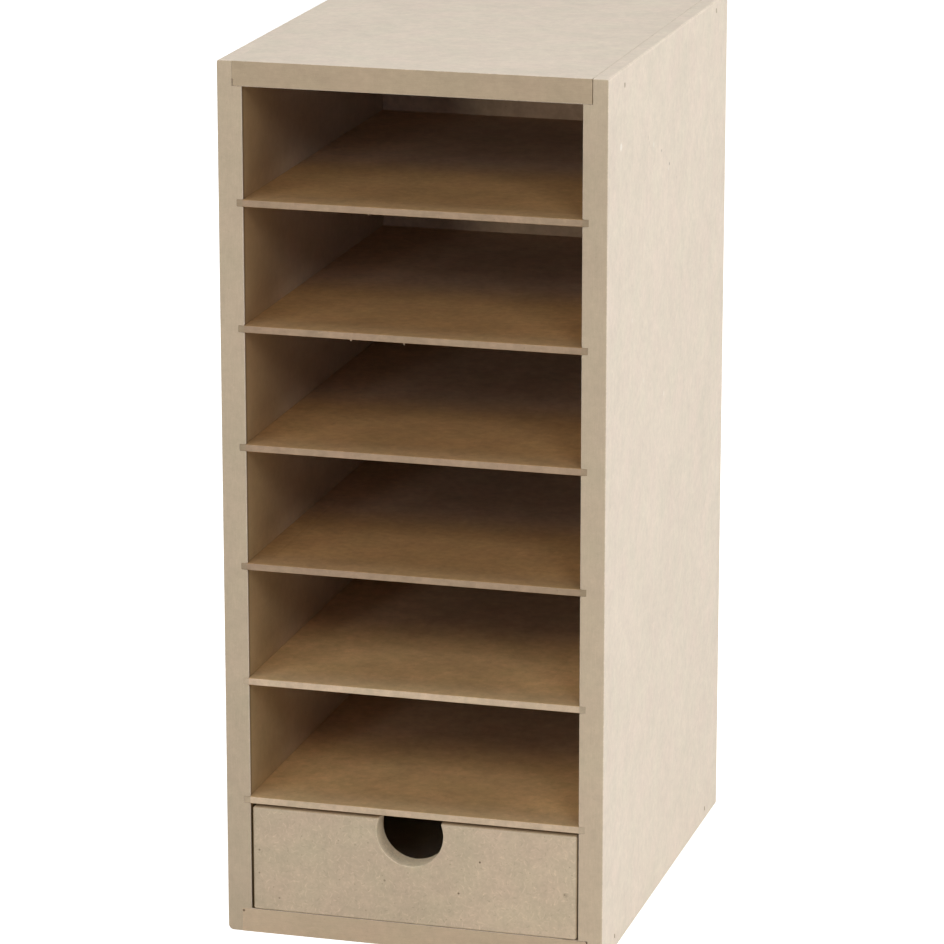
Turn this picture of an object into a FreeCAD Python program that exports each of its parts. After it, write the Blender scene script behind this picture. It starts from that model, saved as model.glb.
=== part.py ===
"""Paper storage unit: a tall fibreboard carcass with six open shelves for A4 sheets above one drawer.

Millimetres. The origin is the centre of the footprint, on the surface that the unit stands on.
+Z is up, the open front faces -Y, and +X is to the right of someone facing the front.
"""

import FreeCAD, Part
import os

# Driving dimensions
WIDTH = 250.0
DEPTH = 328.0
HEIGHT = 572.0
BOARD = 16.0  # carcass and drawer front
SHEET = 4.5  # shelves, back panel and drawer bottom
DRAWER_BOARD = 9.0  # drawer sides and drawer back
SHELF_TOPS = (484.5, 404.0, 327.0, 249.0, 172.5, 92.5)  # from the top shelf down
COMPARTMENT_DEPTH = 305.0  # front edge to the face of the back panel

# Joints of the carcass
RABBET = 6.2  # how far the top and bottom boards are let into the sides
HOUSING = 4.0  # how far the shelves and the back panel are let into the carcass
FIT = 0.05  # play of a let-in sheet in its housing
TOP_SEAM = 0.4  # open joint between the top board's right end and the side
TOP_SEAM_CORNER = 0.8  # worn corner at the bottom of that joint
FOOT_SEAM = 0.25
FOOT_SEAM_CORNER = 3.2
LOST_CORNER = ((0.35, 0.0), (0.7, 4.2), (0.0, 5.0))  # top board's lower left corner: inwards, upwards

# Sanded corners and edges
TOP_CORNER = 1.6
LEFT_FOOT_CORNER = 3.6
RIGHT_FOOT_CORNER = 1.2
OUTER_ARRIS = 1.0
ARRIS = 0.5
SHEET_ARRIS = 0.4

# Drawer
DRAWER_LEFT_PLAY = 1.7
DRAWER_RIGHT_PLAY = 0.9
DRAWER_TOP_PLAY = 1.9
DRAWER_FOOT_PLAY = 0.4
DRAWER_REAR_PLAY = 3.0
RUNNING_PLAY = 0.1  # under the drawer sides
FRONT_CORNER = 1.5
FRONT_ARRIS = 0.6
FRONT_RABBET = 8.0  # how far the drawer sides run into the front's thickness
SIDE_HEIGHT = 60.0
BOTTOM_LIFT = 6.0  # drawer bottom above the lower edge of the drawer sides
GROOVE = 4.0
BOX_ARRIS = 1.0
FINGER_RADIUS = 22.2
FINGER_OFFSET = -2.3  # from the centre plane of the carcass
FINGER_DROP = 8.9  # centre of the finger hole below the top of the drawer front
FINGER_HORN = 1.0  # rounding where the finger hole meets the top edge

# Where things lie
FRONT = -DEPTH / 2
REAR = DEPTH / 2
INNER_X = WIDTH / 2 - BOARD
LIP_X = INNER_X + RABBET
HOUSING_X = INNER_X + HOUSING
TOP_UNDERSIDE = HEIGHT - BOARD
BACK_FACE = FRONT + COMPARTMENT_DEPTH
DRAWER_LEFT = DRAWER_LEFT_PLAY - INNER_X
DRAWER_RIGHT = INNER_X - DRAWER_RIGHT_PLAY
DRAWER_REAR = BACK_FACE - DRAWER_REAR_PLAY
DRAWER_SOLE = BOARD + RUNNING_PLAY
FRONT_LOW = BOARD + DRAWER_FOOT_PLAY
FRONT_HIGH = SHELF_TOPS[-1] - SHEET - DRAWER_TOP_PLAY
FRONT_BACK_FACE = FRONT + BOARD
SIDE_START = FRONT_BACK_FACE - FRONT_RABBET
SIDE_TOP = DRAWER_SOLE + SIDE_HEIGHT
BOTTOM_LOW = DRAWER_SOLE + BOTTOM_LIFT
BOTTOM_HIGH = BOTTOM_LOW + SHEET
DRAWER_BACK_FACE = DRAWER_REAR - DRAWER_BOARD

# Brads: thickness, width, head width, head height, length
CARCASS_BRAD = (1.4, 1.6, 3.0, 1.2, 38.0)
DRAWER_BRAD = (1.0, 1.25, 2.2, 0.8, 25.0)
BRAD_SINK = 0.8  # depth of the head below the surface
BRAD_POCKET_PLAY = 0.1  # all round the head, above it
BRAD_POINT = 2.0  # length of the taper
BRAD_TIP = 0.3  # size of the point's end, as a share of the shank
RIGHT_TOP_BRADS = ((-123.0, 561.2), (130.0, 565.2))  # y, z
RIGHT_FOOT_BRADS = ((-131.0, 8.8), (127.0, 8.3))
LEFT_TOP_BRADS = ((-126.0, 563.5), (128.0, 565.0))
LEFT_FOOT_BRADS = ((-129.0, 8.6), (129.0, 9.8))
FRONT_JOINT_BRAD_HEIGHTS = (34.0, 66.0)
BACK_JOINT_BRAD_HEIGHTS = (38.0, 64.0)
BOTTOM_BRAD_SPACING = 72.0

SELECT_TOLERANCE = 0.01
OVERRUN = 1.0  # how far a cutter runs past the face that it opens


def block(corner, opposite):
    """Box between two opposite corners, given in any order."""
    low = [min(a, b) for a, b in zip(corner, opposite)]
    size = [abs(b - a) for a, b in zip(corner, opposite)]
    return Part.makeBox(*size, FreeCAD.Vector(*low))


def edges_at(shape, **planes):
    """Edges that lie wholly in each named plane, such as y=FRONT."""
    found = []
    for edge in shape.Edges:
        box = edge.BoundBox
        ends = {"x": (box.XMin, box.XMax), "y": (box.YMin, box.YMax), "z": (box.ZMin, box.ZMax)}
        if all(abs(end - place) < SELECT_TOLERANCE for axis, place in planes.items() for end in ends[axis]):
            found.append(edge)
    return found


def eased(shape, radius, **planes):
    """Shape with the edges in the named planes rounded."""
    return shape.makeFillet(radius, edges_at(shape, **planes))


def eased_face(shape, radius, keep_sharp=(), **plane):
    """Shape with the edges round one face rounded, apart from those in a keep_sharp plane."""
    sharp = [edge for planes in keep_sharp for edge in edges_at(shape, **plane, **planes)]
    edges = [edge for edge in edges_at(shape, **plane) if not any(edge.isSame(other) for other in sharp)]
    return shape.makeFillet(radius, edges)


def prism_y(points, y_low, y_high):
    """Solid with an outline in XZ, run along Y."""
    corners = [FreeCAD.Vector(x, y_low, z) for x, z in points]
    outline = Part.makePolygon(corners + corners[:1])
    return Part.Face(outline).extrude(FreeCAD.Vector(0, y_high - y_low, 0))


def corner_waste(x, z, x_inward, z_inward, radius):
    """Cutter that rounds a board's corner at (x, z), all along Y. x_inward and z_inward are -1 or 1."""
    centre_x = x + x_inward * radius
    centre_z = z + z_inward * radius
    waste = block(
        (x - x_inward * OVERRUN, FRONT - OVERRUN, z - z_inward * OVERRUN),
        (centre_x, REAR + OVERRUN, centre_z),
    )
    kept = Part.makeCylinder(
        radius,
        DEPTH + 2 * OVERRUN,
        FreeCAD.Vector(centre_x, FRONT - OVERRUN, centre_z),
        FreeCAD.Vector(0, 1, 0),
    )
    return waste.cut(kept)


def brad(kind, point, direction):
    """A brad driven at a surface point, and the hole that it makes: (steel, hole)."""
    thickness, width, head_width, head_height, length = kind
    half_thickness = thickness / 2
    half_width = width / 2
    half_head = head_width / 2
    shank_end = length - BRAD_POINT
    head = block((-half_width, 0, -half_head), (half_width, head_height, half_head))
    shank = block((-half_thickness, 0, -half_width), (half_thickness, shank_end, half_width))
    low_end = (-half_thickness, shank_end, -half_width)
    low_tip = (-half_width * BRAD_TIP, -half_thickness * BRAD_TIP)
    high_end = (half_thickness, length, half_width)
    high_tip = (half_width * BRAD_TIP, half_thickness * BRAD_TIP)
    tip = Part.makeWedge(*low_end, *low_tip, *high_end, *high_tip)
    steel = head.fuse([shank, tip]).removeSplitter()
    pocket_x = half_width + BRAD_POCKET_PLAY
    pocket_z = half_head + BRAD_POCKET_PLAY
    hole = steel.fuse(block((-pocket_x, -BRAD_SINK - OVERRUN, -pocket_z), (pocket_x, 0, pocket_z)))
    axis = FreeCAD.Vector(*direction)
    place = FreeCAD.Placement(
        FreeCAD.Vector(*point) + axis * BRAD_SINK,
        FreeCAD.Rotation(FreeCAD.Vector(0, 1, 0), axis),
    )
    steel.Placement = place
    hole.Placement = place
    return steel, hole


def side_panel(side):
    """Carcass side: rabbeted at both ends, housed for the shelves, grooved for the back. side is -1 or 1."""
    outer = side * WIDTH / 2
    inner = side * INNER_X
    lip = side * LIP_X
    housed = side * HOUSING_X
    panel = block((outer, FRONT, 0), (inner, REAR, HEIGHT))
    panel = eased(panel, TOP_CORNER, x=outer, z=HEIGHT)
    panel = eased(panel, LEFT_FOOT_CORNER if side < 0 else RIGHT_FOOT_CORNER, x=outer, z=0)
    panel = eased_face(panel, OUTER_ARRIS, keep_sharp=({"x": inner},), y=FRONT)
    panel = eased_face(panel, OUTER_ARRIS, keep_sharp=({"x": inner},), y=REAR)
    past_inner = inner - side * OVERRUN
    panel = panel.cut(block((lip, FRONT - OVERRUN, -OVERRUN), (past_inner, REAR + OVERRUN, BOARD)))
    top_rabbet = block(
        (lip, FRONT - OVERRUN, TOP_UNDERSIDE), (past_inner, REAR + OVERRUN, HEIGHT + OVERRUN)
    )
    panel = panel.cut(top_rabbet)
    panel = eased(panel, ARRIS, x=inner, y=FRONT)
    panel = eased(panel, ARRIS, x=inner, y=REAR)
    for top in SHELF_TOPS:
        housing = block(
            (housed, FRONT - OVERRUN, top - SHEET), (past_inner, BACK_FACE + FIT, top + FIT)
        )
        panel = panel.cut(housing)
    groove = block((housed, BACK_FACE, BOARD - OVERRUN), (past_inner, BACK_FACE + SHEET + FIT, HEIGHT))
    return panel.cut(groove)


def top_board():
    """Top of the carcass, let into the sides: tight at the left, with an open seam at the right."""
    left = -LIP_X
    right = LIP_X - TOP_SEAM
    board = block((left, FRONT, TOP_UNDERSIDE), (right, REAR, HEIGHT))
    for y in (FRONT, REAR):
        board = eased(board, ARRIS, y=y, z=HEIGHT)
        board = eased(board, ARRIS, y=y, z=TOP_UNDERSIDE)
    lost = [(left + inwards, TOP_UNDERSIDE + upwards) for inwards, upwards in LOST_CORNER]
    below = (lost[0][0], TOP_UNDERSIDE - OVERRUN)
    outside = [(left - OVERRUN, lost[-1][1]), (left - OVERRUN, TOP_UNDERSIDE - OVERRUN)]
    lost_corner = prism_y([below] + lost + outside, FRONT - OVERRUN, REAR + OVERRUN)
    groove = block(
        (left - OVERRUN, BACK_FACE, TOP_UNDERSIDE - OVERRUN),
        (right + OVERRUN, BACK_FACE + SHEET + FIT, TOP_UNDERSIDE + HOUSING),
    )
    worn_corner = corner_waste(right, TOP_UNDERSIDE, -1, 1, TOP_SEAM_CORNER)
    return board.cut([lost_corner, groove, worn_corner])


def bottom_board():
    """Bottom of the carcass, let into the sides; the drawer slides on it."""
    left = -LIP_X
    right = LIP_X - FOOT_SEAM
    board = block((left, FRONT, 0), (right, REAR, BOARD))
    for y in (FRONT, REAR):
        board = eased(board, ARRIS, y=y, z=0)
        board = eased(board, ARRIS, y=y, z=BOARD)
    groove = block(
        (left - OVERRUN, BACK_FACE, BOARD - HOUSING),
        (right + OVERRUN, BACK_FACE + SHEET + FIT, BOARD + OVERRUN),
    )
    worn_corner = corner_waste(right, BOARD, -1, -1, FOOT_SEAM_CORNER)
    return board.cut([groove, worn_corner])


def shelf(top):
    """Thin shelf whose ends show at the front of the sides' housings."""
    end = HOUSING_X - FIT
    board = block((-end, FRONT, top - SHEET), (end, BACK_FACE, top))
    return eased_face(board, SHEET_ARRIS, keep_sharp=({"x": -end}, {"x": end}), y=FRONT)


def back_panel():
    """Thin back, held in grooves on all four sides."""
    end = HOUSING_X - FIT
    return block(
        (-end, BACK_FACE, BOARD - HOUSING + FIT),
        (end, BACK_FACE + SHEET, TOP_UNDERSIDE + HOUSING - FIT),
    )


def bottom_groove():
    """Cutter for the groove that holds the drawer bottom in the drawer front and sides."""
    return block(
        (DRAWER_LEFT + DRAWER_BOARD - GROOVE, FRONT_BACK_FACE - GROOVE, BOTTOM_LOW),
        (DRAWER_RIGHT - DRAWER_BOARD + GROOVE, DRAWER_REAR + OVERRUN, BOTTOM_HIGH),
    )


def drawer_front():
    """Thick front with a finger hole that breaks through its top edge."""
    front = block((DRAWER_LEFT, FRONT, FRONT_LOW), (DRAWER_RIGHT, FRONT_BACK_FACE, FRONT_HIGH))
    for x in (DRAWER_LEFT, DRAWER_RIGHT):
        for z in (FRONT_LOW, FRONT_HIGH):
            front = eased(front, FRONT_CORNER, x=x, z=z)
    centre = FreeCAD.Vector(FINGER_OFFSET, FRONT - OVERRUN, FRONT_HIGH - FINGER_DROP)
    finger_hole = Part.makeCylinder(
        FINGER_RADIUS, BOARD + 2 * OVERRUN, centre, FreeCAD.Vector(0, 1, 0)
    )
    front = front.cut(finger_hole)
    half_mouth = (FINGER_RADIUS**2 - FINGER_DROP**2) ** 0.5
    for x in (FINGER_OFFSET - half_mouth, FINGER_OFFSET + half_mouth):
        front = eased(front, FINGER_HORN, x=x, z=FRONT_HIGH)
    front = eased_face(front, FRONT_ARRIS, y=FRONT)
    for x, inward in ((DRAWER_LEFT, 1), (DRAWER_RIGHT, -1)):
        side_seat = block(
            (x - inward * OVERRUN, SIDE_START, FRONT_LOW - OVERRUN),
            (x + inward * DRAWER_BOARD, FRONT_BACK_FACE + OVERRUN, FRONT_HIGH + OVERRUN),
        )
        front = front.cut(side_seat)
    return front.cut(bottom_groove())


def drawer_side(outer, inward):
    """Drawer side, let into the back of the drawer front."""
    board = block((outer, SIDE_START, DRAWER_SOLE), (outer + inward * DRAWER_BOARD, DRAWER_REAR, SIDE_TOP))
    board = eased(board, BOX_ARRIS, x=outer, z=SIDE_TOP)
    board = eased(board, BOX_ARRIS, x=outer + inward * DRAWER_BOARD, z=SIDE_TOP)
    board = eased(board, ARRIS, x=outer, z=DRAWER_SOLE)
    return board.cut(bottom_groove())


def drawer_back():
    """Drawer back, between the sides and on top of the drawer bottom."""
    board = block(
        (DRAWER_LEFT + DRAWER_BOARD, DRAWER_BACK_FACE, BOTTOM_HIGH),
        (DRAWER_RIGHT - DRAWER_BOARD, DRAWER_REAR, SIDE_TOP),
    )
    for y in (DRAWER_BACK_FACE, DRAWER_REAR):
        board = eased(board, BOX_ARRIS, y=y, z=SIDE_TOP)
    return board


def drawer_bottom():
    """Thin bottom, in the grooves of the front and sides, and under the back."""
    return block(
        (DRAWER_LEFT + DRAWER_BOARD - GROOVE + FIT, FRONT_BACK_FACE - GROOVE + FIT, BOTTOM_LOW),
        (DRAWER_RIGHT - DRAWER_BOARD + GROOVE - FIT, DRAWER_REAR, BOTTOM_HIGH),
    )


def carcass_brads(side, places):
    """Brads through a carcass side's lip into the end of the top or bottom board."""
    return [brad(CARCASS_BRAD, (side * WIDTH / 2, y, z), (-side, 0, 0)) for y, z in places]


def drawer_corner_brads(y, heights):
    """Brads through both drawer sides, at one depth."""
    return [
        brad(DRAWER_BRAD, (x, y, z), (inward, 0, 0))
        for x, inward in ((DRAWER_LEFT, 1), (DRAWER_RIGHT, -1))
        for z in heights
    ]


def drawer_bottom_brads():
    """Brads up through the drawer bottom into the drawer back."""
    middle = (DRAWER_LEFT + DRAWER_RIGHT) / 2
    y = DRAWER_BACK_FACE + DRAWER_BOARD / 2
    return [
        brad(DRAWER_BRAD, (middle + step * BOTTOM_BRAD_SPACING, y, BOTTOM_LOW), (0, 0, 1))
        for step in (-1, 0, 1)
    ]


def boards():
    """Every board, before the brads are driven: {name: solid}."""
    made = {
        "left_side_panel": side_panel(-1),
        "right_side_panel": side_panel(1),
        "top_panel": top_board(),
        "bottom_panel": bottom_board(),
        "back_panel": back_panel(),
        "drawer_front": drawer_front(),
        "drawer_left_side": drawer_side(DRAWER_LEFT, 1),
        "drawer_right_side": drawer_side(DRAWER_RIGHT, -1),
        "drawer_back": drawer_back(),
        "drawer_bottom": drawer_bottom(),
    }
    for number, top in enumerate(SHELF_TOPS, start=1):
        made[f"shelf_{number}"] = shelf(top)
    return made


def brad_groups():
    """Each group of brads, with the boards that it goes through: {name: (brads, board names)}."""
    front_joint_y = (SIDE_START + FRONT_BACK_FACE) / 2
    back_joint_y = DRAWER_BACK_FACE + DRAWER_BOARD / 2
    sides = ["drawer_left_side", "drawer_right_side"]
    return {
        "left_top_brads": (carcass_brads(-1, LEFT_TOP_BRADS), ["left_side_panel", "top_panel"]),
        "right_top_brads": (carcass_brads(1, RIGHT_TOP_BRADS), ["right_side_panel", "top_panel"]),
        "left_foot_brads": (carcass_brads(-1, LEFT_FOOT_BRADS), ["left_side_panel", "bottom_panel"]),
        "right_foot_brads": (carcass_brads(1, RIGHT_FOOT_BRADS), ["right_side_panel", "bottom_panel"]),
        "drawer_front_brads": (
            drawer_corner_brads(front_joint_y, FRONT_JOINT_BRAD_HEIGHTS),
            sides + ["drawer_front"],
        ),
        "drawer_back_brads": (
            drawer_corner_brads(back_joint_y, BACK_JOINT_BRAD_HEIGHTS),
            sides + ["drawer_back"],
        ),
        "drawer_bottom_brads": (drawer_bottom_brads(), ["drawer_bottom", "drawer_back"]),
    }


def main():
    os.makedirs("parts", exist_ok=True)
    parts = boards()
    for group, (brads, driven_through) in brad_groups().items():
        for name in driven_through:
            parts[name] = parts[name].cut([hole for steel, hole in brads])
        parts[group] = Part.makeCompound([steel for steel, hole in brads])
    for name, shape in parts.items():
        shape.exportStep(f"parts/{name}.step")


main()
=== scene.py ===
import math
from collections import namedtuple

import bmesh
import bpy
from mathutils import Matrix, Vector, noise


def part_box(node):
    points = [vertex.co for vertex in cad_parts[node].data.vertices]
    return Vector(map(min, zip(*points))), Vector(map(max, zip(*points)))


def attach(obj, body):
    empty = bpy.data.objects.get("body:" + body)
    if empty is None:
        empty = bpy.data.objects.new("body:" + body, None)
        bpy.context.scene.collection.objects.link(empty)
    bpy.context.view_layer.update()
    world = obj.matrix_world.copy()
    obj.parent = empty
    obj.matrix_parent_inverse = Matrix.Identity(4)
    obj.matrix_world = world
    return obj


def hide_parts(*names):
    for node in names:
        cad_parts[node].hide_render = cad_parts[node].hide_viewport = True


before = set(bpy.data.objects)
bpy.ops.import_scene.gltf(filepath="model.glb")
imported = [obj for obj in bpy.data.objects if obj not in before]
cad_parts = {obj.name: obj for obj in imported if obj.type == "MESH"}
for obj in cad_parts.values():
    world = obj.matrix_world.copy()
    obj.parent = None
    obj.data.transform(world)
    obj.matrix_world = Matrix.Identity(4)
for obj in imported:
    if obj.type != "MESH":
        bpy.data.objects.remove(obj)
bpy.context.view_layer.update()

MM = 0.001
AXES = {"x": 0, "y": 1, "z": 2}

# The unit, in millimetres: x runs across it, y along its depth from the front, and z up
SIDE_X = 125.0
INNER_X = 109.0
FRONT_Y = -164.0
BACK_Y = 146.0  # behind the back panel
HEIGHT = 572.0
TOP_UNDERSIDE = 556.0
FLOOR_TOP = 16.0
SHELF_TOPS = (484.5, 404.0, 327.0, 249.0, 172.5, 92.5)
SHEET = 4.5
HOUSING_EDGES = SHELF_TOPS + tuple(top - SHEET for top in SHELF_TOPS)
HOUSING_DEPTH = 4.2
SEAM = (114.8, 115.2)  # the open joint in the top, across
DRAWER_X = (-107.3, 108.1)
DRAWER_Z = (16.4, 86.1)
OUTER_ARRIS = 1.0
ARRIS = 0.5
SHEET_ARRIS = 0.4
DRAWER_CORNER = 1.5

# Colours, linear
FACE_TONE = (0.785, 0.684, 0.567)  # a sanded face of the thick board
SIDE_FRONT_TONE = (0.505, 0.404, 0.287)
TOP_FRONT_TONE = (0.441, 0.339, 0.229)
FOOT_FRONT_TONE = (0.536, 0.412, 0.282)
DRAWER_TONE = (0.543, 0.432, 0.307)
NOTCH_TONE = (0.80, 0.68, 0.50)  # the drawer front's edges, so in the finger hole too
# Painted shade of the insides: paler and greyer towards the rear, and lighter towards the foot with painted
# light
INSIDE_SHADE_TONES = (  # at the top and at the foot, first near the front and then at the rear
    ((0.328, 0.203, 0.098), (0.409, 0.276, 0.136)),
    ((0.632, 0.531, 0.46), (0.684, 0.56, 0.45)),
)
BACK_TONE = (0.44, 0.30, 0.19)
# painted light on the back panel towards its left end
BACK_PAINTED_LIGHT_TONE = (0.70, 0.55, 0.46)
# A shelf's top near the front, the same at the rear, and its front edge. The rear tones are painted shade;
# the lower shelves' lighter tones are partly their own colour and partly painted light.
UPPER_SHELF_TONES = ((0.44, 0.26, 0.11), (0.44, 0.30, 0.20), (0.37, 0.26, 0.17))
LOWER_SHELF_TONES = ((0.58, 0.38, 0.18), (0.45, 0.30, 0.18), (0.59, 0.45, 0.31))
LOWER_SHELVES = (5, 6)
STUB_TONE = (0.323, 0.242, 0.155)
DUST_TONE = (0.76, 0.66, 0.545)
SPLINTER_TONE = (0.42, 0.31, 0.21)
SPECK_TONE = (0.13, 0.085, 0.05)
DAB_TONE = (0.95, 0.89, 0.80)
# painted shade beside the gaps around the drawer front
GAP_SHADE_TONE = (0.20, 0.11, 0.03)
# painted light on the shelves' tops along the front edge
PAINTED_LIGHT_TINT = (0.97, 1.02, 1.12)  # times the tone below
STEEL_TONE = (0.32, 0.31, 0.30)

# Where a tone changes, in millimetres: it starts at a pair's first place and is complete at the second
BEHIND_FRONT = (FRONT_Y + 0.6, FRONT_Y + 1.6)  # the insides, along the depth
BEFORE_BACK = (BACK_Y + 0.4, BACK_Y)
INSIDE_SHADE_DEPTH = (-150.0, 60.0)
LIP = (FRONT_Y + 6.0, FRONT_Y + 1.8)
INSIDE_SHADE_UP = (480.0, 60.0)  # the insides, up
STRIP_TOP = (16.0, 2.0)  # the strips of the sides just above the shelves, up from a shelf
STRIP_FOOT = (-0.5, 0.0)
STRIP_FRONT = (FRONT_Y + 6.0, FRONT_Y + 25.0)
STRIP_REAR = (0.0, -80.0)
BACK_PAINTED_LIGHT = (-25.0, -109.0)  # the back panel, across
SHELF_SHADE_DEPTH = (-70.0, 0.0)  # the shelves, along the depth
SHELF_FRONT = (FRONT_Y + 8.0, FRONT_Y + 30.0)
SHELF_DEEP = (-70.0, 20.0)
PAINTED_LIGHT_FRONT = (-128.0, -158.0)
SHELF_LEFT = (-25.0, -98.0)  # the shelves, across
SHELF_RIGHT = (35.0, 90.0)
SHELF_DEEP_LEFT = (0.0, -80.0)
STUB_FRONT = (FRONT_Y + 1.6, FRONT_Y + 0.8)
STUB_START = (INNER_X - 0.4, INNER_X + 0.4)
FRONT_SKIN = (FRONT_Y + 1.2, FRONT_Y + 0.6)
SIDE_SKIN = (SIDE_X - 0.6, SIDE_X - 0.3)
INSIDE_EDGE = 0.25  # width of the edge of the insides' tone
INSIDE_SLACK = 0.05  # how far that edge lies inside the top and bottom boards

# Changes of lightness, as shares, and what they apply to
LIP_CHANGE = -0.45
# painted light on the sides' insides just above the shelves
STRIP_PAINTED_LIGHT = 0.24
# painted light on the shelves' tops towards both ends and deep on the left
SHELF_PAINTED_LIGHT = 0.22
SHELF_DEEP_PAINTED_LIGHT = 0.15
# painted light: the right side's front grows lighter towards the foot, and the drawer front towards the right
SIDE_PAINTED_LIGHT = ("z", 0.9 * HEIGHT, 0.0, 0.13)  # axis, start, end, change
FOOT_FADE = ("x", -85.0, -112.0, 0.06)
DRAWER_PAINTED_LIGHT = ("x", -20.0, 70.0, 0.065)
STUB_STRENGTHS = (  # of the left and right stub, from the top shelf down
    (0.95, 1.0), (0.85, 1.0), (0.9, 0.97), (0.9, 0.97), (0.06, 0.22), (0.35, 0.08),
)
# painted shade beside the gaps around the drawer front
GAP_SHADE_WIDTH = 1.0
GAP_SHADE_STRENGTH = 0.65
FOOT_GAP_SHADE_STRENGTH = 0.15

# How far a normal points along an axis, from where a face starts to count to where it counts in full
IS_EDGE = (0.85, 0.55)
IS_TOP = (0.8, 0.95)
IS_FRONT = (-0.6, -0.9)
IS_ARRIS = (0.96, 0.85)

# Single marks: place along the board, place up, radius, strength
SIDE_SPOTS = (
    (-1.0, 488.1, 1.1, 0.55), (-23.6, 501.0, 1.0, 0.4), (-57.0, 512.0, 1.6, 0.12), (-60.0, 516.0, 1.6, 0.12),
    (-100.0, 430.0, 1.0, 0.15), (20.0, 475.0, 1.2, 0.15),
)
SIDE_DABS = (
    (-131.3, 524.1, 2.6, 0.75), (-45.0, 509.0, 1.8, 0.5), (-3.5, 485.5, 1.4, 0.4), (-98.5, 407.3, 1.8, 0.35),
    (-10.7, 338.5, 1.8, 0.35), (-66.6, 360.8, 1.8, 0.3),
)
DRAWER_SPOTS = (
    (44.3, 62.5, 0.75, 0.9), (30.2, 40.1, 0.75, 0.85), (100.7, 45.8, 1.7, 0.25), (100.2, 46.0, 0.5, 0.6),
    (-90.0, 25.1, 0.7, 0.5), (-19.1, 44.1, 0.8, 0.5), (-103.2, 56.9, 0.8, 0.5), (-103.4, 41.2, 0.7, 0.5),
)
FOOT_SPOTS = ((-114.3, 14.3, 0.9, 0.9),)
SPOT_EDGE = (1.3, 0.5)  # in radii

# Surface detail, in millimetres
SEEDS = {  # where each board's pattern starts, so that no two boards look alike
    "left_side_panel": 11.0, "right_side_panel": 45.0, "top_panel": 53.0, "bottom_panel": 70.0,
    "shelf_1": 118.0, "shelf_2": 135.0, "shelf_3": 152.0,
    "shelf_4": 169.0, "shelf_5": 186.0, "shelf_6": 203.0,
    "back_panel": 311.0, "drawer_front": 401.0, "drawer_left_side": 421.0, "drawer_right_side": 438.0,
    "drawer_back": 461.0, "drawer_bottom": 481.0, "top_seam_dust": 501.0, "shelf_splinters": 521.0,
}
SIDE_SHIFT = 57.0  # between the patterns of a board's faces
NUDGE = 0.001  # gives a normal's zero parts a sign
MOTTLES = ((70.0, 0.05), (16.0, 0.07), (5.0, 0.09), (1.8, 0.09))  # size, share of lightness
FINE = 3.0  # mottles below this size follow the grain
TINT_SIZE = 24.0  # faint pink and green patches
TINT_SHIFT = 9.0
TINT_DETAIL = 0.5
TINT_BLUE = 0.6  # blue changes by this share of red's change
GRAIN_SIZE = 0.45
GRAIN = 0.12
GRAIN_DETAIL = 3.0
GRAIN_HEIGHT = 0.5
EDGE_GRAIN = 1.5
LAYER_LENGTH = 9.0  # streaks of a sawn edge
LAYER_THICKNESS = 0.5
LAYERS = 0.16
LAYER_HEIGHT = 2.0
CURL_SIZE = 5.0
CURL = 3.0
FIBRE_LAYERS = (  # cell, length, width, share of cells with a fibre, lightness, place of the pattern
    (5.2, 4.2, 0.50, 0.60, 0.13, 3.1),
    (3.1, 3.0, 0.42, 0.60, 0.09, 41.7),
    (4.2, 3.0, 0.40, 0.30, -0.14, 77.3),
)
FIBRE_CORE = 0.2  # of a fibre's width
FIBRE_ENDS = (0.5, 0.25)  # of a fibre's length, out from its middle
FIBRE_HEIGHT = 0.4
EDGE_FIBRE_LOSS = 0.4
SPECK_CELL = 9.0
SPECK_SHARE = 0.30
SPECK_RADIUS = 0.38
SPECK_STRENGTH = 0.5
SPECK_SMALLEST = 0.5
SPECK_EDGE = (1.3, 0.3)  # in radii
FLECK_SIZE = 1.4  # pale flecks where an arris is bruised
FLECK = 0.15
FLECK_EDGE = (0.48, 0.62)
ROUGHNESS = (0.12, 0.74)  # what the grain adds, and the least
SHEEN = 0.25
BUMP_STRENGTH = 0.5
BUMP_HEIGHT = 0.12
Texture = namedtuple("Texture", "mottle grain fibre speck tint")
SANDED = Texture(1.0, 0.4, 0.3, 0.25, 0.06)
CLEAN = Texture(1.0, 0.4, 0.25, 0.1, 0.06)
COARSE = Texture(1.4, 1.1, 0.95, 0.7, 0.12)
THIN = Texture(2.3, 0.8, 0.35, 0.6, 0.09)
PLAIN = Texture(1.0, 1.0, 0.0, 0.0, 0.0)
SPANGLE_SIZE = 0.5  # of galvanised wire
SPANGLE = (0.6, 1.3)
SPANGLE_DETAIL = 3.0
STEEL_ROUGHNESS = (0.3, 0.35)
STEEL_METALLIC = 0.9

# Wear of the arrises, in millimetres
CUT_SPACING = 1.5
CUT_SLACK = 0.01
WELD = 0.002
FLAT_ANGLE = 0.5  # degrees
FLAT_FACE = 0.9995  # share of a normal along one axis, from which a face or a vertex lies on a flat side
FLAT_VERTEX = 0.98
GUARD = 1.2  # the wear stays this close to an arris
END_STRIP = 4.0  # at a board's ends, where its arrises run the other way
FUZZ = 0.07
FUZZ_PITCH = 1.3
CHIP = 0.55
CHIP_PITCH = 3.2
CHIP_START = 0.22
CHIP_PLACE = (7.0, 3.0, 11.0)
FRAY = 0.8  # of the sides' arrises beside the housings
FRAY_REACH = 3.0
FRAY_WIDTH = 0.6
FRAY_PLACE = (5.0, 9.0, 2.0)

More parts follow.
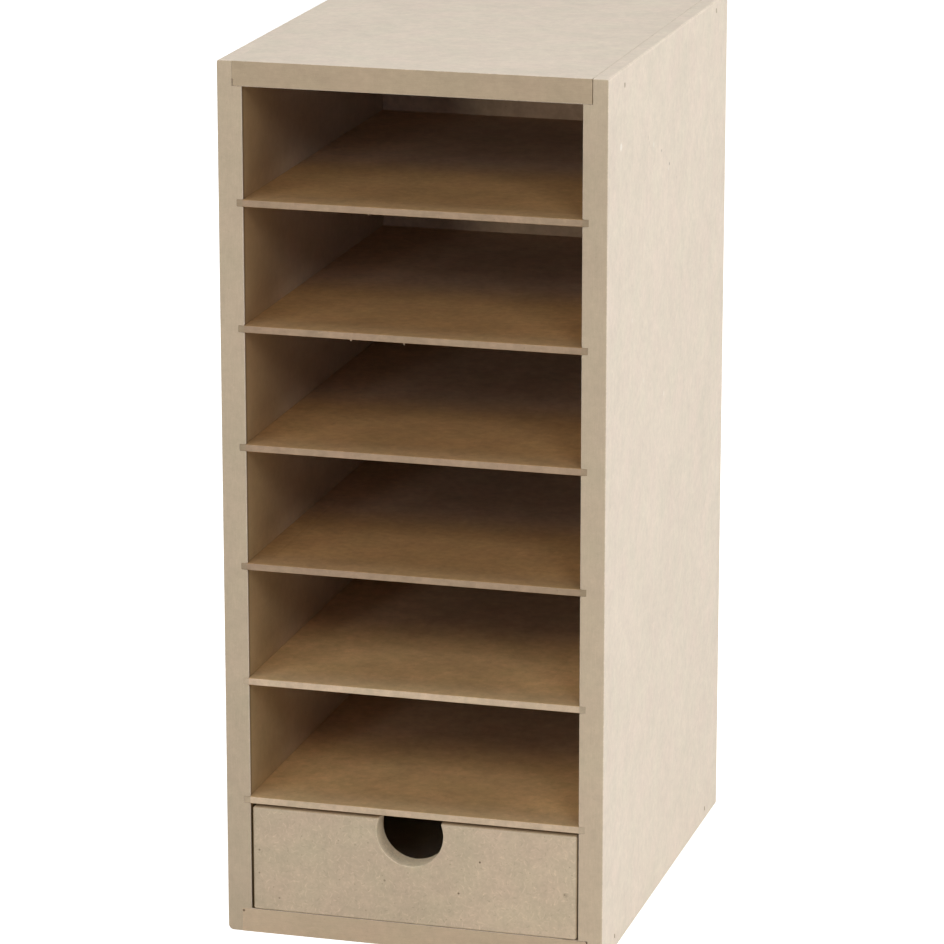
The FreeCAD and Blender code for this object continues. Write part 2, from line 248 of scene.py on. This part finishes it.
# Loose pieces, in millimetres
DUST_PLAY = 0.01
DUST_RUN = (FRONT_Y + 3.0, -FRONT_Y - 1.0)
DUST_STEP = 2.0
DUST_DEPTH = 1.5
DUST_SINK = 0.05
DUST_SWELL = 0.2
DUST_PITCH = 6.0
DUST_PLACE = 4.0
SPLINTERS = (  # across, top, width, length, lean to the side
    (-39.4, 400.0, 1.5, 1.5, 0.2), (-5.0, 400.0, 0.7, 1.9, 0.3), (-27.5, 480.6, 1.1, 1.3, 0.3),
)
SPLINTER_Y = FRONT_Y + 0.6
SPLINTER_HALF = 0.25  # of its thickness
SPLINTER_TIP = 0.15  # half the tip's width, as a share of the root's whole width


def grid_of(node):
    """Lowest and highest corner of a CAD node, in millimetres."""
    low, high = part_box(node)
    return low / MM, high / MM


# ---- Materials ----


class Shader:
    """A node material, built with short calls that return sockets."""

    def __init__(self, name):
        self.material = bpy.data.materials.new(name)
        self.material.use_nodes = True
        self.tree = self.material.node_tree
        self.surface = self.tree.nodes["Principled BSDF"]

    def node(self, kind, inputs, **settings):
        made = self.tree.nodes.new(kind)
        for name, value in settings.items():
            setattr(made, name, value)
        for socket, value in inputs.items():
            self.feed(made.inputs[socket], value)
        return made

    def feed(self, socket, value):
        if isinstance(value, bpy.types.NodeSocket):
            self.tree.links.new(value, socket)
        else:
            socket.default_value = value

    def source(self):
        """A point's place on the object, in millimetres, and its normal."""
        made = self.node("ShaderNodeTexCoord", {})
        return self.vector("MULTIPLY", made.outputs["Object"], (1 / MM,) * 3), made.outputs["Normal"]

    def maths(self, operation, a, b=0.0, c=0.0):
        return self.node("ShaderNodeMath", {0: a, 1: b, 2: c}, operation=operation).outputs[0]

    def product(self, value, *factors):
        for factor in factors:
            value = self.maths("MULTIPLY", value, factor)
        return value

    def vector(self, operation, a, b=(0.0, 0.0, 0.0)):
        return self.node("ShaderNodeVectorMath", {0: a, 1: b}, operation=operation).outputs[0]

    def parts(self, vector):
        split = self.node("ShaderNodeSeparateXYZ", {0: vector})
        return split.outputs[0], split.outputs[1], split.outputs[2]

    def joined(self, x, y, z):
        return self.node("ShaderNodeCombineXYZ", {0: x, 1: y, 2: z}).outputs[0]

    def step(self, value, start, end):
        """0 before start, 1 past end, smooth between. start may be above end."""
        inputs = {"Value": value, "From Min": start, "From Max": end}
        return self.node("ShaderNodeMapRange", inputs, interpolation_type="SMOOTHSTEP").outputs[0]

    def blotches(self, place, sizes, detail=2.0, shift=0.0):
        """Noise of 0 to 1. sizes are its blotches' sizes along the axes, and shift moves the pattern."""
        vector = self.vector("MULTIPLY", place, [1 / size for size in sizes])
        if shift:
            vector = self.vector("ADD", vector, (shift,) * 3)
        inputs = {"Vector": vector, "Scale": 1.0, "Detail": detail}
        return self.node("ShaderNodeTexNoise", inputs).outputs["Fac"]

    def about_zero(self, noise_value, swing):
        """A noise of 0 to 1 turned into a change of up to half of swing either way."""
        return self.maths("MULTIPLY_ADD", noise_value, swing, -0.5 * swing)

    def cells(self, vector, size):
        inputs = {"Vector": vector, "Scale": 1.0 / size}
        return self.node("ShaderNodeTexVoronoi", inputs, voronoi_dimensions="2D", feature="F1").outputs

    def mixed(self, share, a, b):
        made = self.node("ShaderNodeMix", {0: share}, data_type="RGBA", clamp_factor=True)
        self.feed(made.inputs[6], self.colour(a))
        self.feed(made.inputs[7], self.colour(b))
        return made.outputs[2]

    def lightened(self, colour, amount):
        """Colour times one plus amount."""
        factor = self.maths("ADD", amount, 1.0)
        return self.vector("MULTIPLY", colour, self.joined(factor, factor, factor))

    @staticmethod
    def colour(value):
        return value if isinstance(value, bpy.types.NodeSocket) else (*value, 1.0)


def surface_plane(shader, place, normal, seed):
    """The two coordinates in the plane that a face lies in, so that each side has a pattern of its own."""
    x, y, z = shader.parts(place)
    across = shader.parts(shader.vector("ABSOLUTE", normal))
    faces_x = shader.maths("GREATER_THAN", across[0], shader.maths("MAXIMUM", across[1], across[2]))
    faces_z = shader.maths("GREATER_THAN", across[2], shader.maths("MAXIMUM", across[0], across[1]))
    first = shader.node("ShaderNodeMix", {0: faces_x, 2: x, 3: y}).outputs[0]
    second = shader.node("ShaderNodeMix", {0: faces_z, 2: z, 3: y}).outputs[0]
    side = shader.parts(shader.vector("SIGN", shader.vector("ADD", normal, (NUDGE,) * 3)))
    total = shader.maths("ADD", side[0], shader.maths("ADD", side[1], side[2]))
    turned = shader.product(total, SIDE_SHIFT)
    return shader.joined(shader.maths("ADD", first, seed), shader.maths("ADD", second, turned), 0.0)


def fibres(shader, plane, cell, length, width, share, offset):
    """Short curled fibres, one to a cell, each at its own angle: 1 on a fibre, 0 off it."""
    shifted = shader.vector("ADD", plane, (offset, offset, 0.0))
    cells = shader.cells(shifted, cell)
    chance, turn, _ = shader.parts(cells["Color"])
    away = shader.vector("SUBTRACT", shifted, cells["Position"])
    inputs = {"Vector": away, "Angle": shader.product(turn, math.pi)}
    along = shader.node("ShaderNodeVectorRotate", inputs, rotation_type="Z_AXIS").outputs[0]
    run, off, _ = shader.parts(shader.vector("ABSOLUTE", along))
    body = shader.step(off, width, width * FIBRE_CORE)
    ends = shader.step(run, *(length * part for part in FIBRE_ENDS))
    return shader.product(body, ends, shader.maths("LESS_THAN", chance, share))


def specks(shader, plane):
    """Sparse round specks of bark: 1 on a speck, 0 off it."""
    cells = shader.cells(plane, SPECK_CELL)
    chance, size, _ = shader.parts(cells["Color"])
    radius = shader.maths("MULTIPLY_ADD", size, SPECK_RADIUS, SPECK_RADIUS * SPECK_SMALLEST)
    away = shader.maths("DIVIDE", shader.product(cells["Distance"], SPECK_CELL), radius)
    return shader.product(shader.step(away, *SPECK_EDGE), shader.maths("LESS_THAN", chance, SPECK_SHARE))


def fibreboard(name, face_tone, edge_tone, thickness, flush="", texture=SANDED, marks=()):
    """Raw board: mottled faces with fibres and specks, streaky sawn edges and bruised arrises.

    thickness is the axis across the board. Edges that face along the flush axis are sanded like a face.
    texture sets the strength of each kind of detail, and marks are the board's own changes of tone.
    """
    shader = Shader(name)
    seed = SEEDS[name]
    place, normal = shader.source()
    plane = surface_plane(shader, place, normal, seed)
    inputs = {"Vector": plane, "Scale": 1 / CURL_SIZE, "Detail": 1.0}
    curl = shader.node("ShaderNodeTexNoise", inputs).outputs["Color"]
    curled = shader.vector("ADD", plane, shader.vector("MULTIPLY", curl, (CURL, CURL, 0.0)))
    across = shader.parts(shader.vector("ABSOLUTE", normal))
    edge = shader.step(across[AXES[thickness]], *IS_EDGE)
    if flush:
        edge = shader.product(edge, shader.step(across[AXES[flush]], *IS_EDGE))

    tone = shader.mixed(edge, face_tone, edge_tone)
    for mark in marks:
        tone = mark(shader, place, normal, tone)
    for size, depth in MOTTLES:
        share = texture.mottle if size > FINE else texture.grain
        cloud = shader.blotches(place, (size,) * 3, shift=seed)
        tone = shader.lightened(tone, shader.about_zero(cloud, 2 * depth * share))
    patches = shader.blotches(place, (TINT_SIZE,) * 3, TINT_DETAIL, seed + TINT_SHIFT)
    pink = shader.about_zero(patches, texture.tint)
    blue = shader.maths("MULTIPLY_ADD", pink, TINT_BLUE, 1.0)
    tone = shader.vector("MULTIPLY", tone, shader.joined(shader.maths("ADD", pink, 1.0), 1.0, blue))
    grain = shader.blotches(place, (GRAIN_SIZE,) * 3, GRAIN_DETAIL)
    coarse = shader.maths("MULTIPLY_ADD", edge, EDGE_GRAIN - texture.grain, texture.grain)
    tone = shader.lightened(tone, shader.product(shader.about_zero(grain, GRAIN), coarse))
    height = shader.product(grain, GRAIN_HEIGHT)

    sizes = [LAYER_LENGTH] * 3
    sizes[AXES[thickness]] = LAYER_THICKNESS
    streak = shader.product(shader.about_zero(shader.blotches(place, sizes), LAYERS), edge)
    tone = shader.lightened(tone, streak)
    height = shader.maths("ADD", height, shader.product(streak, LAYER_HEIGHT))
    on_face = shader.maths("MULTIPLY_ADD", edge, -EDGE_FIBRE_LOSS, 1.0)
    for cell, length, width, share, lightness, offset in FIBRE_LAYERS:
        strand = shader.product(fibres(shader, curled, cell, length, width, share, offset), on_face)
        tone = shader.lightened(tone, shader.product(strand, lightness * texture.fibre))
        height = shader.maths("ADD", height, shader.product(strand, FIBRE_HEIGHT * texture.fibre))
    bark = shader.product(specks(shader, plane), SPECK_STRENGTH * texture.speck)
    tone = shader.mixed(bark, tone, SPECK_TONE)
    height = shader.maths("SUBTRACT", height, bark)
    steepest = shader.maths("MAXIMUM", across[0], shader.maths("MAXIMUM", across[1], across[2]))
    flecks = shader.step(shader.blotches(place, (FLECK_SIZE,) * 3), *FLECK_EDGE)
    tone = shader.lightened(tone, shader.product(flecks, shader.step(steepest, *IS_ARRIS), FLECK))

    inputs = {"Height": height, "Strength": BUMP_STRENGTH, "Distance": BUMP_HEIGHT * MM}
    shader.feed(shader.surface.inputs["Base Color"], tone)
    shader.feed(shader.surface.inputs["Roughness"], shader.maths("MULTIPLY_ADD", grain, *ROUGHNESS))
    shader.feed(shader.surface.inputs["Normal"], shader.node("ShaderNodeBump", inputs).outputs[0])
    shader.feed(shader.surface.inputs["Specular IOR Level"], SHEEN)
    return shader.material


def steel():
    """Dull galvanised brad wire."""
    shader = Shader("galvanised_wire")
    place, _ = shader.source()
    spangle = shader.blotches(place, (SPANGLE_SIZE,) * 3, SPANGLE_DETAIL)
    dark, light = ([part * share for part in STEEL_TONE] for share in SPANGLE)
    shader.feed(shader.surface.inputs["Base Color"], shader.mixed(spangle, dark, light))
    shader.feed(shader.surface.inputs["Roughness"], shader.maths("MULTIPLY_ADD", spangle, *STEEL_ROUGHNESS))
    shader.feed(shader.surface.inputs["Metallic"], STEEL_METALLIC)
    return shader.material


# ---- Marks: each takes a shader, a place, a normal and a tone, and returns the changed tone ----


def painted_light_above_shelves(shader, depth, up):
    """The strips of the sides just above the shelves, where painted light is laid: 1 at a shelf, 0 well above
    it.
    """
    strips = 0.0
    for top in SHELF_TOPS:
        strip = shader.step(up, *(top + rise for rise in STRIP_TOP))
        strip = shader.product(strip, shader.step(up, *(top + rise for rise in STRIP_FOOT)))
        strips = shader.maths("ADD", strips, strip)
    return shader.product(strips, shader.step(depth, *STRIP_FRONT), shader.step(depth, *STRIP_REAR))


def painted_inside_shade(axis, start, sign=1):
    """Painted shade where the board looks into the unit: everything past start along sign times the axis. The
    insides are darker and browner than the faces, and paler and greyer towards the rear. Painted light makes
    them lighter towards the foot, and on the sides just above the shelves. They are darker again in a strip
    just behind the front.
    """

    def apply(shader, place, normal, tone):
        _, depth, up = shader.parts(place)
        reach = shader.product(shader.parts(place)[AXES[axis]], float(sign))
        inner = shader.step(reach, start - INSIDE_EDGE, start)
        behind = shader.product(shader.step(depth, *BEHIND_FRONT), shader.step(depth, *BEFORE_BACK))
        low = shader.step(up, *INSIDE_SHADE_UP)
        near, rear = (shader.mixed(low, *tones) for tones in INSIDE_SHADE_TONES)
        inside_shade = shader.mixed(shader.step(depth, *INSIDE_SHADE_DEPTH), near, rear)
        if axis == "x":
            strips = painted_light_above_shelves(shader, depth, up)
            inside_shade = shader.lightened(inside_shade, shader.product(strips, STRIP_PAINTED_LIGHT))
        inside_shade = shader.lightened(inside_shade, shader.product(shader.step(depth, *LIP), LIP_CHANGE))
        return shader.mixed(shader.product(inner, behind), tone, inside_shade)

    return apply


def painted_light_left_end(shader, place, normal, tone):
    """The back panel, with painted light towards its left end."""
    return shader.mixed(shader.step(shader.parts(place)[0], *BACK_PAINTED_LIGHT), tone, BACK_PAINTED_LIGHT_TONE)


def painted_shelf_light_and_shade(rear_shade_tone):
    """A shelf, with painted shade that makes it duller at the rear. Its top has painted light: a cooler tint
    along the front edge, paler towards both ends and paler deep on the left.
    """

    def apply(shader, place, normal, tone):
        across, depth, _ = shader.parts(place)
        tone = shader.mixed(shader.step(depth, *SHELF_SHADE_DEPTH), tone, rear_shade_tone)
        top = shader.step(shader.parts(normal)[2], *IS_TOP)
        front_light = shader.product(shader.step(depth, *PAINTED_LIGHT_FRONT), top)
        tone = shader.mixed(front_light, tone, shader.vector("MULTIPLY", tone, PAINTED_LIGHT_TINT))
        ends = shader.maths("ADD", shader.step(across, *SHELF_LEFT), shader.step(across, *SHELF_RIGHT))
        behind = shader.product(shader.step(depth, *SHELF_FRONT), top)
        tone = shader.lightened(tone, shader.product(ends, behind, SHELF_PAINTED_LIGHT))
        deep = shader.product(shader.step(depth, *SHELF_DEEP), shader.step(across, *SHELF_DEEP_LEFT), top)
        return shader.lightened(tone, shader.product(deep, SHELF_DEEP_PAINTED_LIGHT))

    return apply


def stub_mark(left, right):
    """The ends of a shelf's front edge, in the housings: from the sides' own tone to dark with glue."""

    def apply(shader, place, normal, tone):
        x, y, _ = shader.parts(place)
        front = shader.step(y, *STUB_FRONT)
        for strength, out in ((left, shader.product(x, -1.0)), (right, x)):
            stub = [a * (1 - strength) + b * strength for a, b in zip(SIDE_FRONT_TONE, STUB_TONE)]
            tone = shader.mixed(shader.product(shader.step(out, *STUB_START), front), tone, stub)
        return tone

    return apply


def lighter_towards_mark(axis, start, end, change):
    """Front faces that grow lighter from start to end along an axis. On the right side's front and on the
    drawer front this is painted light.
    """

    def apply(shader, place, normal, tone):
        share = shader.step(shader.parts(place)[AXES[axis]], start, end)
        front = shader.step(shader.parts(normal)[1], *IS_FRONT)
        return shader.lightened(tone, shader.product(share, front, change))

    return apply


def gap_shade_mark(rims):
    """Painted shade along the outline of a front, beside the gaps around it.

    rims are (axis, the rim's place, direction inwards, strength).
    """

    def apply(shader, place, normal, tone):
        parts = shader.parts(place)
        for axis, start, inwards, strength in rims:
            rim = shader.step(parts[AXES[axis]], start + inwards * GAP_SHADE_WIDTH, start)
            tone = shader.mixed(shader.product(rim, strength), tone, GAP_SHADE_TONE)
        return tone

    return apply


def spots_mark(spots, axis="x", facing="y", skin=FRONT_SKIN, spot_tone=SPECK_TONE):
    """Spots at set places along the axis and up, only in the board's skin along the facing axis."""

    def apply(shader, place, normal, tone):
        parts = shader.parts(place)
        near = shader.step(parts[AXES[facing]], *skin)
        flat = shader.joined(parts[AXES[axis]], parts[2], 0.0)
        for along, up, radius, strength in spots:
            away = shader.node("ShaderNodeVectorMath", {0: flat, 1: (along, up, 0.0)}, operation="DISTANCE")
            spot = shader.step(away.outputs["Value"], *(radius * share for share in SPOT_EDGE))
            tone = shader.mixed(shader.product(spot, strength, near), tone, spot_tone)
        return tone

    return apply


# ---- Worn copies of the CAD boards ----


def slice_mesh(made, axis, places, wanted=None):
    """Cuts the faces of a mesh at planes across one axis; wanted limits the cuts to some of the faces."""
    normal = Vector([float(k == axis) for k in range(3)])
    faces = [f for f in made.faces if wanted is None or wanted(f.calc_center_median() / MM)]
    geometry = list({v for f in faces for v in f.verts}) + list({e for f in faces for e in f.edges}) + faces
    for place in places:
        cut = bmesh.ops.bisect_plane(
            made, geom=geometry, dist=CUT_SLACK * MM, plane_co=normal * place * MM, plane_no=normal
        )
        geometry = cut["geom"]


def spread(low, high, spacing):
    """Evenly spaced places between two ends, without the ends."""
    count = max(1, round((high - low) / spacing))
    return [low + (high - low) * number / count for number in range(1, count)]


def arris_wear(vertex):
    """How far wear takes a vertex below the board's surface: nothing on a flat face."""
    if max(abs(c) for c in vertex.normal) > FLAT_VERTEX:
        return 0.0
    place = vertex.co / MM
    fuzz = FUZZ * abs(noise.noise(place / FUZZ_PITCH))
    chip = CHIP * max(0.0, noise.noise(place / CHIP_PITCH + Vector(CHIP_PLACE)) - CHIP_START)
    if abs(abs(place.x) - INNER_X) < FRAY_WIDTH:
        reach = min(abs(place.z - height) for height in HOUSING_EDGES)
        frayed = abs(noise.noise(place / FUZZ_PITCH + Vector(FRAY_PLACE)))
        chip += FRAY * max(0.0, 1 - reach / FRAY_REACH) * frayed
    return (fuzz + chip) * MM


def worn_mesh(node, run, guards, ends):
    """The CAD node's mesh, cut into short lengths along one axis, with its arrises fuzzed and chipped.

    guards are (axis, place) cuts beside the arrises, which keep the wear off the wide faces.
    ends is (axis, test): the faces that pass the test are cut into short lengths along that axis too.
    """
    made = bmesh.new()
    made.from_mesh(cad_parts[node].data)
    bmesh.ops.remove_doubles(made, verts=made.verts, dist=WELD * MM)
    bmesh.ops.dissolve_limit(made, angle_limit=math.radians(FLAT_ANGLE), verts=made.verts, edges=made.edges)
    low, high = grid_of(node)
    for axis, place in guards:
        slice_mesh(made, AXES[axis], [place])
    axis = AXES[run]
    slice_mesh(made, axis, spread(low[axis], high[axis], CUT_SPACING))
    if ends:
        axis = AXES[ends[0]]
        slice_mesh(made, axis, spread(low[axis], high[axis], CUT_SPACING), ends[1])
    made.normal_update()
    for face in made.faces:
        face.smooth = max(abs(c) for c in face.normal) < FLAT_FACE
    moves = [(v, arris_wear(v)) for v in made.verts]
    for vertex, depth in moves:
        vertex.co -= vertex.normal * depth
    mesh = bpy.data.meshes.new(node + "_worn")
    made.to_mesh(mesh)
    made.free()
    return mesh


def add_object(name, mesh, body, material, replaced=None):
    """An object of its own that rides a body, and stands for a CAD node if one is given."""
    piece = bpy.data.objects.new(name, mesh)
    bpy.context.scene.collection.objects.link(piece)
    mesh.materials.append(material)
    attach(piece, body)
    if replaced:
        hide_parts(replaced)


def worn_board(node, run, body, material, guards=(), ends=None):
    """A worn copy of a CAD board stands for it."""
    add_object(node + "_worn", worn_mesh(node, run, guards, ends), body, material, node)


def finish_cad(node, material):
    """Gives a CAD node that stays a material."""
    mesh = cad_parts[node].data
    mesh.materials.clear()
    mesh.materials.append(material)


for sign, node in ((-1, "left_side_panel"), (1, "right_side_panel")):
    marks = [painted_inside_shade("x", -INNER_X - HOUSING_DEPTH, -sign)]
    if sign > 0:
        marks.append(lighter_towards_mark(*SIDE_PAINTED_LIGHT))
        marks.append(spots_mark(SIDE_SPOTS, "y", "x", SIDE_SKIN))
        marks.append(spots_mark(SIDE_DABS, "y", "x", SIDE_SKIN, DAB_TONE))
    board = fibreboard(node, FACE_TONE, SIDE_FRONT_TONE, "x", flush="z", marks=marks)
    guards = [("y", FRONT_Y + OUTER_ARRIS + GUARD), ("x", sign * (INNER_X + ARRIS + GUARD))]
    guards.append(("x", sign * (SIDE_X - OUTER_ARRIS - GUARD)))
    ends = ("y", lambda centre: centre.z < END_STRIP or centre.z > HEIGHT - END_STRIP)
    worn_board(node, "z", "carcass", board, guards, ends)
marks = [painted_inside_shade("z", -TOP_UNDERSIDE - INSIDE_SLACK, -1)]
board = fibreboard("top_panel", FACE_TONE, TOP_FRONT_TONE, "z", texture=CLEAN, marks=marks)
guards = [("y", FRONT_Y + ARRIS + GUARD), ("z", TOP_UNDERSIDE + ARRIS + GUARD), ("z", HEIGHT - ARRIS - GUARD)]
worn_board("top_panel", "x", "carcass", board, guards)
marks = [painted_inside_shade("z", FLOOR_TOP - INSIDE_SLACK), gap_shade_mark([("z", FLOOR_TOP, -1, FOOT_GAP_SHADE_STRENGTH)])]
marks += [lighter_towards_mark(*FOOT_FADE), spots_mark(FOOT_SPOTS)]
board = fibreboard("bottom_panel", FACE_TONE, FOOT_FRONT_TONE, "z", marks=marks)
guards = [("y", FRONT_Y + ARRIS + GUARD), ("z", FLOOR_TOP - ARRIS - GUARD), ("z", ARRIS + GUARD)]
worn_board("bottom_panel", "x", "carcass", board, guards)

for number, stubs in enumerate(STUB_STRENGTHS, start=1):
    node = f"shelf_{number}"
    near, rear, edge = LOWER_SHELF_TONES if number in LOWER_SHELVES else UPPER_SHELF_TONES
    board = fibreboard(node, near, edge, "z", texture=THIN, marks=[painted_shelf_light_and_shade(rear), stub_mark(*stubs)])
    worn_board(node, "x", "carcass", board, [("y", FRONT_Y + SHEET_ARRIS + GUARD)])
finish_cad("back_panel", fibreboard("back_panel", BACK_TONE, BACK_TONE, "y", texture=THIN, marks=[painted_light_left_end]))

rims = [("x", DRAWER_X[0], 1, GAP_SHADE_STRENGTH), ("x", DRAWER_X[1], -1, GAP_SHADE_STRENGTH)]
rims += [("z", DRAWER_Z[0], 1, FOOT_GAP_SHADE_STRENGTH), ("z", DRAWER_Z[1], -1, GAP_SHADE_STRENGTH)]
marks = [lighter_towards_mark(*DRAWER_PAINTED_LIGHT), gap_shade_mark(rims), spots_mark(DRAWER_SPOTS)]
board = fibreboard("drawer_front", DRAWER_TONE, NOTCH_TONE, "y", texture=COARSE, marks=marks)
low, high = grid_of("drawer_front")
guards = [("x", low.x + DRAWER_CORNER + GUARD), ("x", high.x - DRAWER_CORNER - GUARD)]
guards += [("z", low.z + DRAWER_CORNER + GUARD), ("z", high.z - DRAWER_CORNER - GUARD)]
ends = ("z", lambda centre: centre.x < low.x + END_STRIP or centre.x > high.x - END_STRIP)
worn_board("drawer_front", "x", "drawer", board, guards, ends)
for node, thickness, run in (
    ("drawer_left_side", "x", "y"), ("drawer_right_side", "x", "y"), ("drawer_back", "y", "x"),
):
    worn_board(node, run, "drawer", fibreboard(node, FACE_TONE, FACE_TONE, thickness))
finish_cad("drawer_bottom", fibreboard("drawer_bottom", FACE_TONE, FACE_TONE, "z"))

wire = steel()
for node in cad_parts:
    if node.endswith("_brads"):
        finish_cad(node, wire)


# ---- Loose pieces ----


def add_loose(name, verts, faces, tone):
    """A loose piece on the carcass, from corners in millimetres. Its faces are turned outwards."""
    mesh = bpy.data.meshes.new(name)
    mesh.from_pydata([[c * MM for c in v] for v in verts], [], faces)
    made = bmesh.new()
    made.from_mesh(mesh)
    bmesh.ops.recalc_face_normals(made, faces=made.faces)
    made.to_mesh(mesh)
    made.free()
    add_object(name, mesh, "carcass", fibreboard(name, tone, tone, "z", texture=PLAIN))


def ring(first, second):
    """Four faces that join one ring of four corners to the next."""
    return [(first + k, first + (k + 1) % 4, second + (k + 1) % 4, second + k) for k in range(4)]


def seam_dust():
    """Sanding dust and glue that fill the top's open joint to just below the surface."""
    left, right = SEAM[0] + DUST_PLAY, SEAM[1] - DUST_PLAY
    front, back = DUST_RUN
    steps = int((back - front) / DUST_STEP)
    verts, faces = [], []
    for number in range(steps + 1):
        y = front + (back - front) * number / steps
        swell = DUST_SWELL * abs(noise.noise(Vector((0.0, y / DUST_PITCH, DUST_PLACE))))
        top = HEIGHT - DUST_SINK - swell
        foot = top - DUST_DEPTH
        verts += [(left, y, foot), (right, y, foot), (right, y, top), (left, y, top)]
        if number:
            faces += ring(4 * number - 4, 4 * number)
    faces = [(0, 3, 2, 1)] + faces + [tuple(4 * steps + k for k in range(4))]
    add_loose("top_seam_dust", verts, faces, DUST_TONE)


def splinters():
    """Torn fibres that hang from the shelves' lower front arrises."""
    verts, faces = [], []
    for x, top, width, length, lean in SPLINTERS:
        first = len(verts)
        for z, half, shift in ((top, 0.5 * width, 0.0), (top - length, SPLINTER_TIP * width, lean)):
            deep = SPLINTER_HALF
            corners = ((-half, -deep), (half, -deep), (half, deep), (-half, deep))
            verts += [(x + shift + a, SPLINTER_Y + b, z) for a, b in corners]
        faces += [(first + 3, first + 2, first + 1, first), tuple(first + 4 + k for k in range(4))]
        faces += ring(first, first + 4)
    add_loose("shelf_splinters", verts, faces, SPLINTER_TONE)


seam_dust()
splinters()


# ---- Studio ----

CAMERA_PLACE = (0.81246, -2.93716, 1.10656)
CAMERA_PITCH = 15.283
CAMERA_YAW = 15.582
CAMERA_LENS = 182.72
CAMERA_SENSOR = 36.0
WHITE = (1.0, 1.0, 1.0, 1.0)
FLOOR_SIZE = 30.0
FLOOR_TONE = (0.80, 0.80, 0.80, 1.0)
FLOOR_GLOW = 0.85
WORLD_FILL = 0.08
MIDDLE = (0.0, 0.0, 0.3)  # what the lamps aim at
SOFTBOXES = (  # name, place, size, power
    ("key_right", (3.0, 0.2, 0.75), (2.2, 1.6), 43.0),
    ("top", (0.55, 0.1, 3.0), (2.0, 2.0), 34.5),
    ("front_right_high", (1.6, -2.6, 2.0), (1.0, 0.9), 21.5),
    ("front_left_high", (-1.6, -2.6, 1.9), (1.0, 0.9), 18.0),
    ("front_high", (0.0, -3.1, 2.2), (1.2, 1.2), 5.0),
    ("front_middle", (-0.2, -3.4, 1.4), (1.3, 1.0), 8.0),
    ("front_left_low", (-0.87, -3.6, 0.8), (0.45, 0.5), 20.0),
    ("rear_left", (-2.6, 2.2, 1.2), (1.6, 1.6), 30.0),
)


def add_camera():
    data = bpy.data.cameras.new("camera")
    data.sensor_width = CAMERA_SENSOR
    data.lens = CAMERA_LENS
    camera = bpy.data.objects.new("camera", data)
    camera.location = CAMERA_PLACE
    camera.rotation_euler = (math.radians(90 - CAMERA_PITCH), 0.0, math.radians(CAMERA_YAW))
    bpy.context.scene.collection.objects.link(camera)
    bpy.context.scene.camera = camera


def add_softbox(name, place, size, power):
    data = bpy.data.lights.new(name, "AREA")
    data.shape = "RECTANGLE"
    data.size, data.size_y = size
    data.energy = power
    lamp = bpy.data.objects.new(name, data)
    lamp.location = place
    lamp.rotation_euler = (Vector(MIDDLE) - Vector(place)).to_track_quat("-Z", "Y").to_euler()
    lamp.visible_camera = False
    bpy.context.scene.collection.objects.link(lamp)


def seen_directly(tree):
    """1 for a ray that shows a background straight, or in metal or glass."""
    path = tree.nodes.new("ShaderNodeLightPath")
    total = path.outputs["Is Camera Ray"]
    for other in ("Is Glossy Ray", "Is Transmission Ray"):
        node = tree.nodes.new("ShaderNodeMath")
        node.operation = "MAXIMUM"
        tree.links.new(total, node.inputs[0])
        tree.links.new(path.outputs[other], node.inputs[1])
        total = node.outputs[0]
    return total


def add_world():
    """Faint light from all round. The camera sees it as white."""
    world = bpy.data.worlds.new("studio")
    world.use_nodes = True
    tree = world.node_tree
    background = tree.nodes["Background"]
    background.inputs["Color"].default_value = WHITE
    strength = tree.nodes.new("ShaderNodeMapRange")
    strength.inputs["To Min"].default_value = WORLD_FILL
    strength.inputs["To Max"].default_value = 1.0
    tree.links.new(seen_directly(tree), strength.inputs["Value"])
    tree.links.new(strength.outputs[0], background.inputs["Strength"])
    bpy.context.scene.world = world


def add_floor():
    """Pale floor. What the camera sees of it is lifted to white, apart from the object's shadow."""
    mesh = bpy.data.meshes.new("floor")
    half = FLOOR_SIZE / 2
    corners = [(-half, -half, 0.0), (half, -half, 0.0), (half, half, 0.0), (-half, half, 0.0)]
    mesh.from_pydata(corners, [], [(0, 1, 2, 3)])
    floor = bpy.data.objects.new("floor", mesh)
    bpy.context.scene.collection.objects.link(floor)
    material = bpy.data.materials.new("floor")
    material.use_nodes = True
    tree = material.node_tree
    surface = tree.nodes["Principled BSDF"]
    surface.inputs["Base Color"].default_value = FLOOR_TONE
    surface.inputs["Roughness"].default_value = 1.0
    surface.inputs["Specular IOR Level"].default_value = 0.0
    surface.inputs["Emission Color"].default_value = WHITE
    lift = tree.nodes.new("ShaderNodeMath")
    lift.operation = "MULTIPLY"
    lift.inputs[1].default_value = FLOOR_GLOW
    tree.links.new(seen_directly(tree), lift.inputs[0])
    tree.links.new(lift.outputs[0], surface.inputs["Emission Strength"])
    mesh.materials.append(material)


add_camera()
add_world()
add_floor()
for softbox in SOFTBOXES:
    add_softbox(*softbox)

bpy.context.scene.view_settings.view_transform = "Standard"
